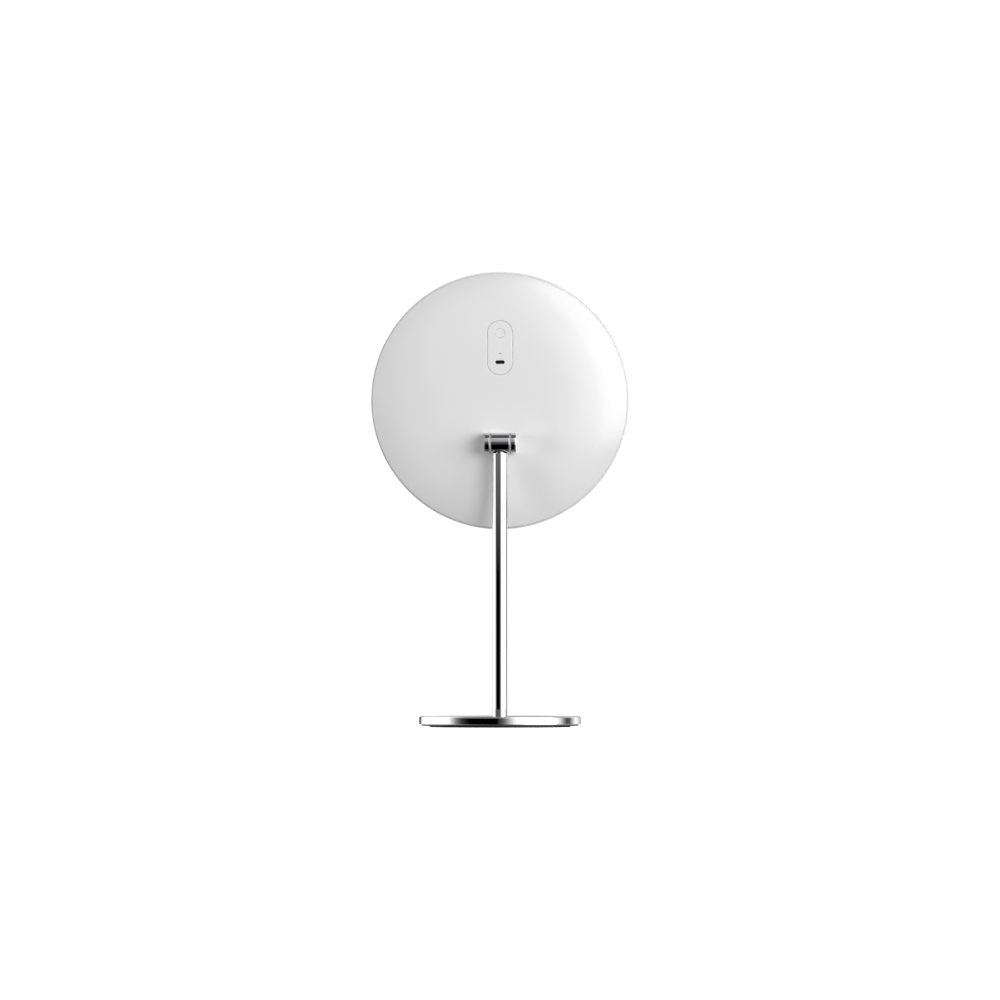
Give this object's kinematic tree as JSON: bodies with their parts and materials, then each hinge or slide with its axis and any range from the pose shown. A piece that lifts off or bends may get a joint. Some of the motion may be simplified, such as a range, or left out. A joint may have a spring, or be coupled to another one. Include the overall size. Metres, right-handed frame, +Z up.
{
  "type": "smart display",
  "caption": "Round lighted smart display with a domed white rear, a friction tilt hinge, a slim chrome pole and a weighted disc base.",
  "frame": {"origin": "centre of the round foot pad's underside, on the table", "axes": "+Z up along the pole; the display and mirror side faces -Y, the domed rear, the pole and the control panel face +Y; +X is to the left when seen from behind"},
  "size_m": [0.254, 0.16, 0.449],
  "materials": {
    "polished_chrome": "mirror polished chrome plating",
    "weight_steel": "zinc plated steel plate, dull",
    "dark_base_plate": "matt black powder coat",
    "pad_rubber": "soft matt black rubber",
    "fastener_steel": "zinc plated steel",
    "plate_steel": "galvanised sheet",
    "bush_plastic": "filled acetal, matt",
    "washer_plastic": "natural grey acetal, satin",
    "white_shell": "satin white moulded plastic",
    "white_panel": "satin white moulded plastic",
    "white_button": "satin white moulded plastic",
    "white_bezel": "satin white moulded plastic",
    "port_steel": "drawn stainless shell",
    "black_moulding": "black moulding, matt",
    "light_pipe": "smoked clear plastic",
    "circuit_board": "green solder mask, satin",
    "led_board": "white solder mask, satin",
    "led_package": "phosphor filled package",
    "chip_epoxy": "black epoxy, matt",
    "standoff_brass": "turned brass",
    "battery_foil": "crimped laminate foil, satin",
    "foam_tape": "closed cell foam tape",
    "lead_red": "soft wire insulation",
    "lead_yellow": "soft wire insulation",
    "frame_plastic": "white ABS, matt",
    "display_black": "black screen module",
    "ribbon_film": "amber polyimide film",
    "sensor_glass": "coated sensor film",
    "mirror_front": "half-silvered glass, polished",
    "frosted_diffuser": "frosted opal plastic"
  },
  "bodies": {
    "stand": {"base_cover": "polished_chrome", "base_weight": "weight_steel", "base_plate": "dark_base_plate", "foot_pad": "pad_rubber", "base_screws": "fastener_steel", "pole_bolt": "fastener_steel", "bolt_washer": "fastener_steel", "pole_insert": "fastener_steel", "pole": "polished_chrome", "hinge_knuckle": "polished_chrome", "friction_bush": "bush_plastic"},
    "head": {"hinge_yoke": "polished_chrome", "hinge_shaft": "fastener_steel", "spring_washer": "fastener_steel", "lock_nut": "fastener_steel", "hinge_washers": "washer_plastic", "end_caps": "polished_chrome", "yoke_screws": "fastener_steel", "hinge_plate": "plate_steel", "plate_screws": "fastener_steel", "rear_shell": "white_shell", "control_panel": "white_panel", "usb_c_port": "port_steel", "usb_c_core": "black_moulding", "light_pipe": "light_pipe", "control_board": "circuit_board", "charge_led": "led_package", "tact_switch": "black_moulding", "main_board": "circuit_board", "board_components": "chip_epoxy", "board_link": "black_moulding", "board_standoffs": "standoff_brass", "board_screws": "fastener_steel", "battery_pack": "battery_foil", "battery_tape": "foam_tape", "battery_lead": "lead_red", "light_lead": "lead_yellow", "mid_frame": "frame_plastic", "shell_screws": "fastener_steel", "led_ring_board": "led_board", "ring_leds": "led_package", "display_panel": "display_black", "display_ribbon": "ribbon_film", "display_brackets": "plate_steel", "display_screws": "fastener_steel", "touch_sensor": "sensor_glass", "glass_tape": "foam_tape", "mirror_glass": "mirror_front", "light_diffuser": "frosted_diffuser", "front_bezel": "white_bezel"},
    "button": {"power_button": "white_button", "switch_plunger": "black_moulding"}
  },
  "joints": [
    {"name": "head_tilt", "type": "hinge", "parent": "stand", "child": "head", "pos_m": [0, 0.028, 0.28], "axis": [-1, 0, 0], "range_deg": [-12, 45]},
    {"name": "power_button_press", "type": "slide", "parent": "head", "child": "button", "axis": [0, -1, 0], "range_m": [0, 0.0004], "stiffness_N_per_m": 2500, "springref_m": -0.0002}
  ]
}
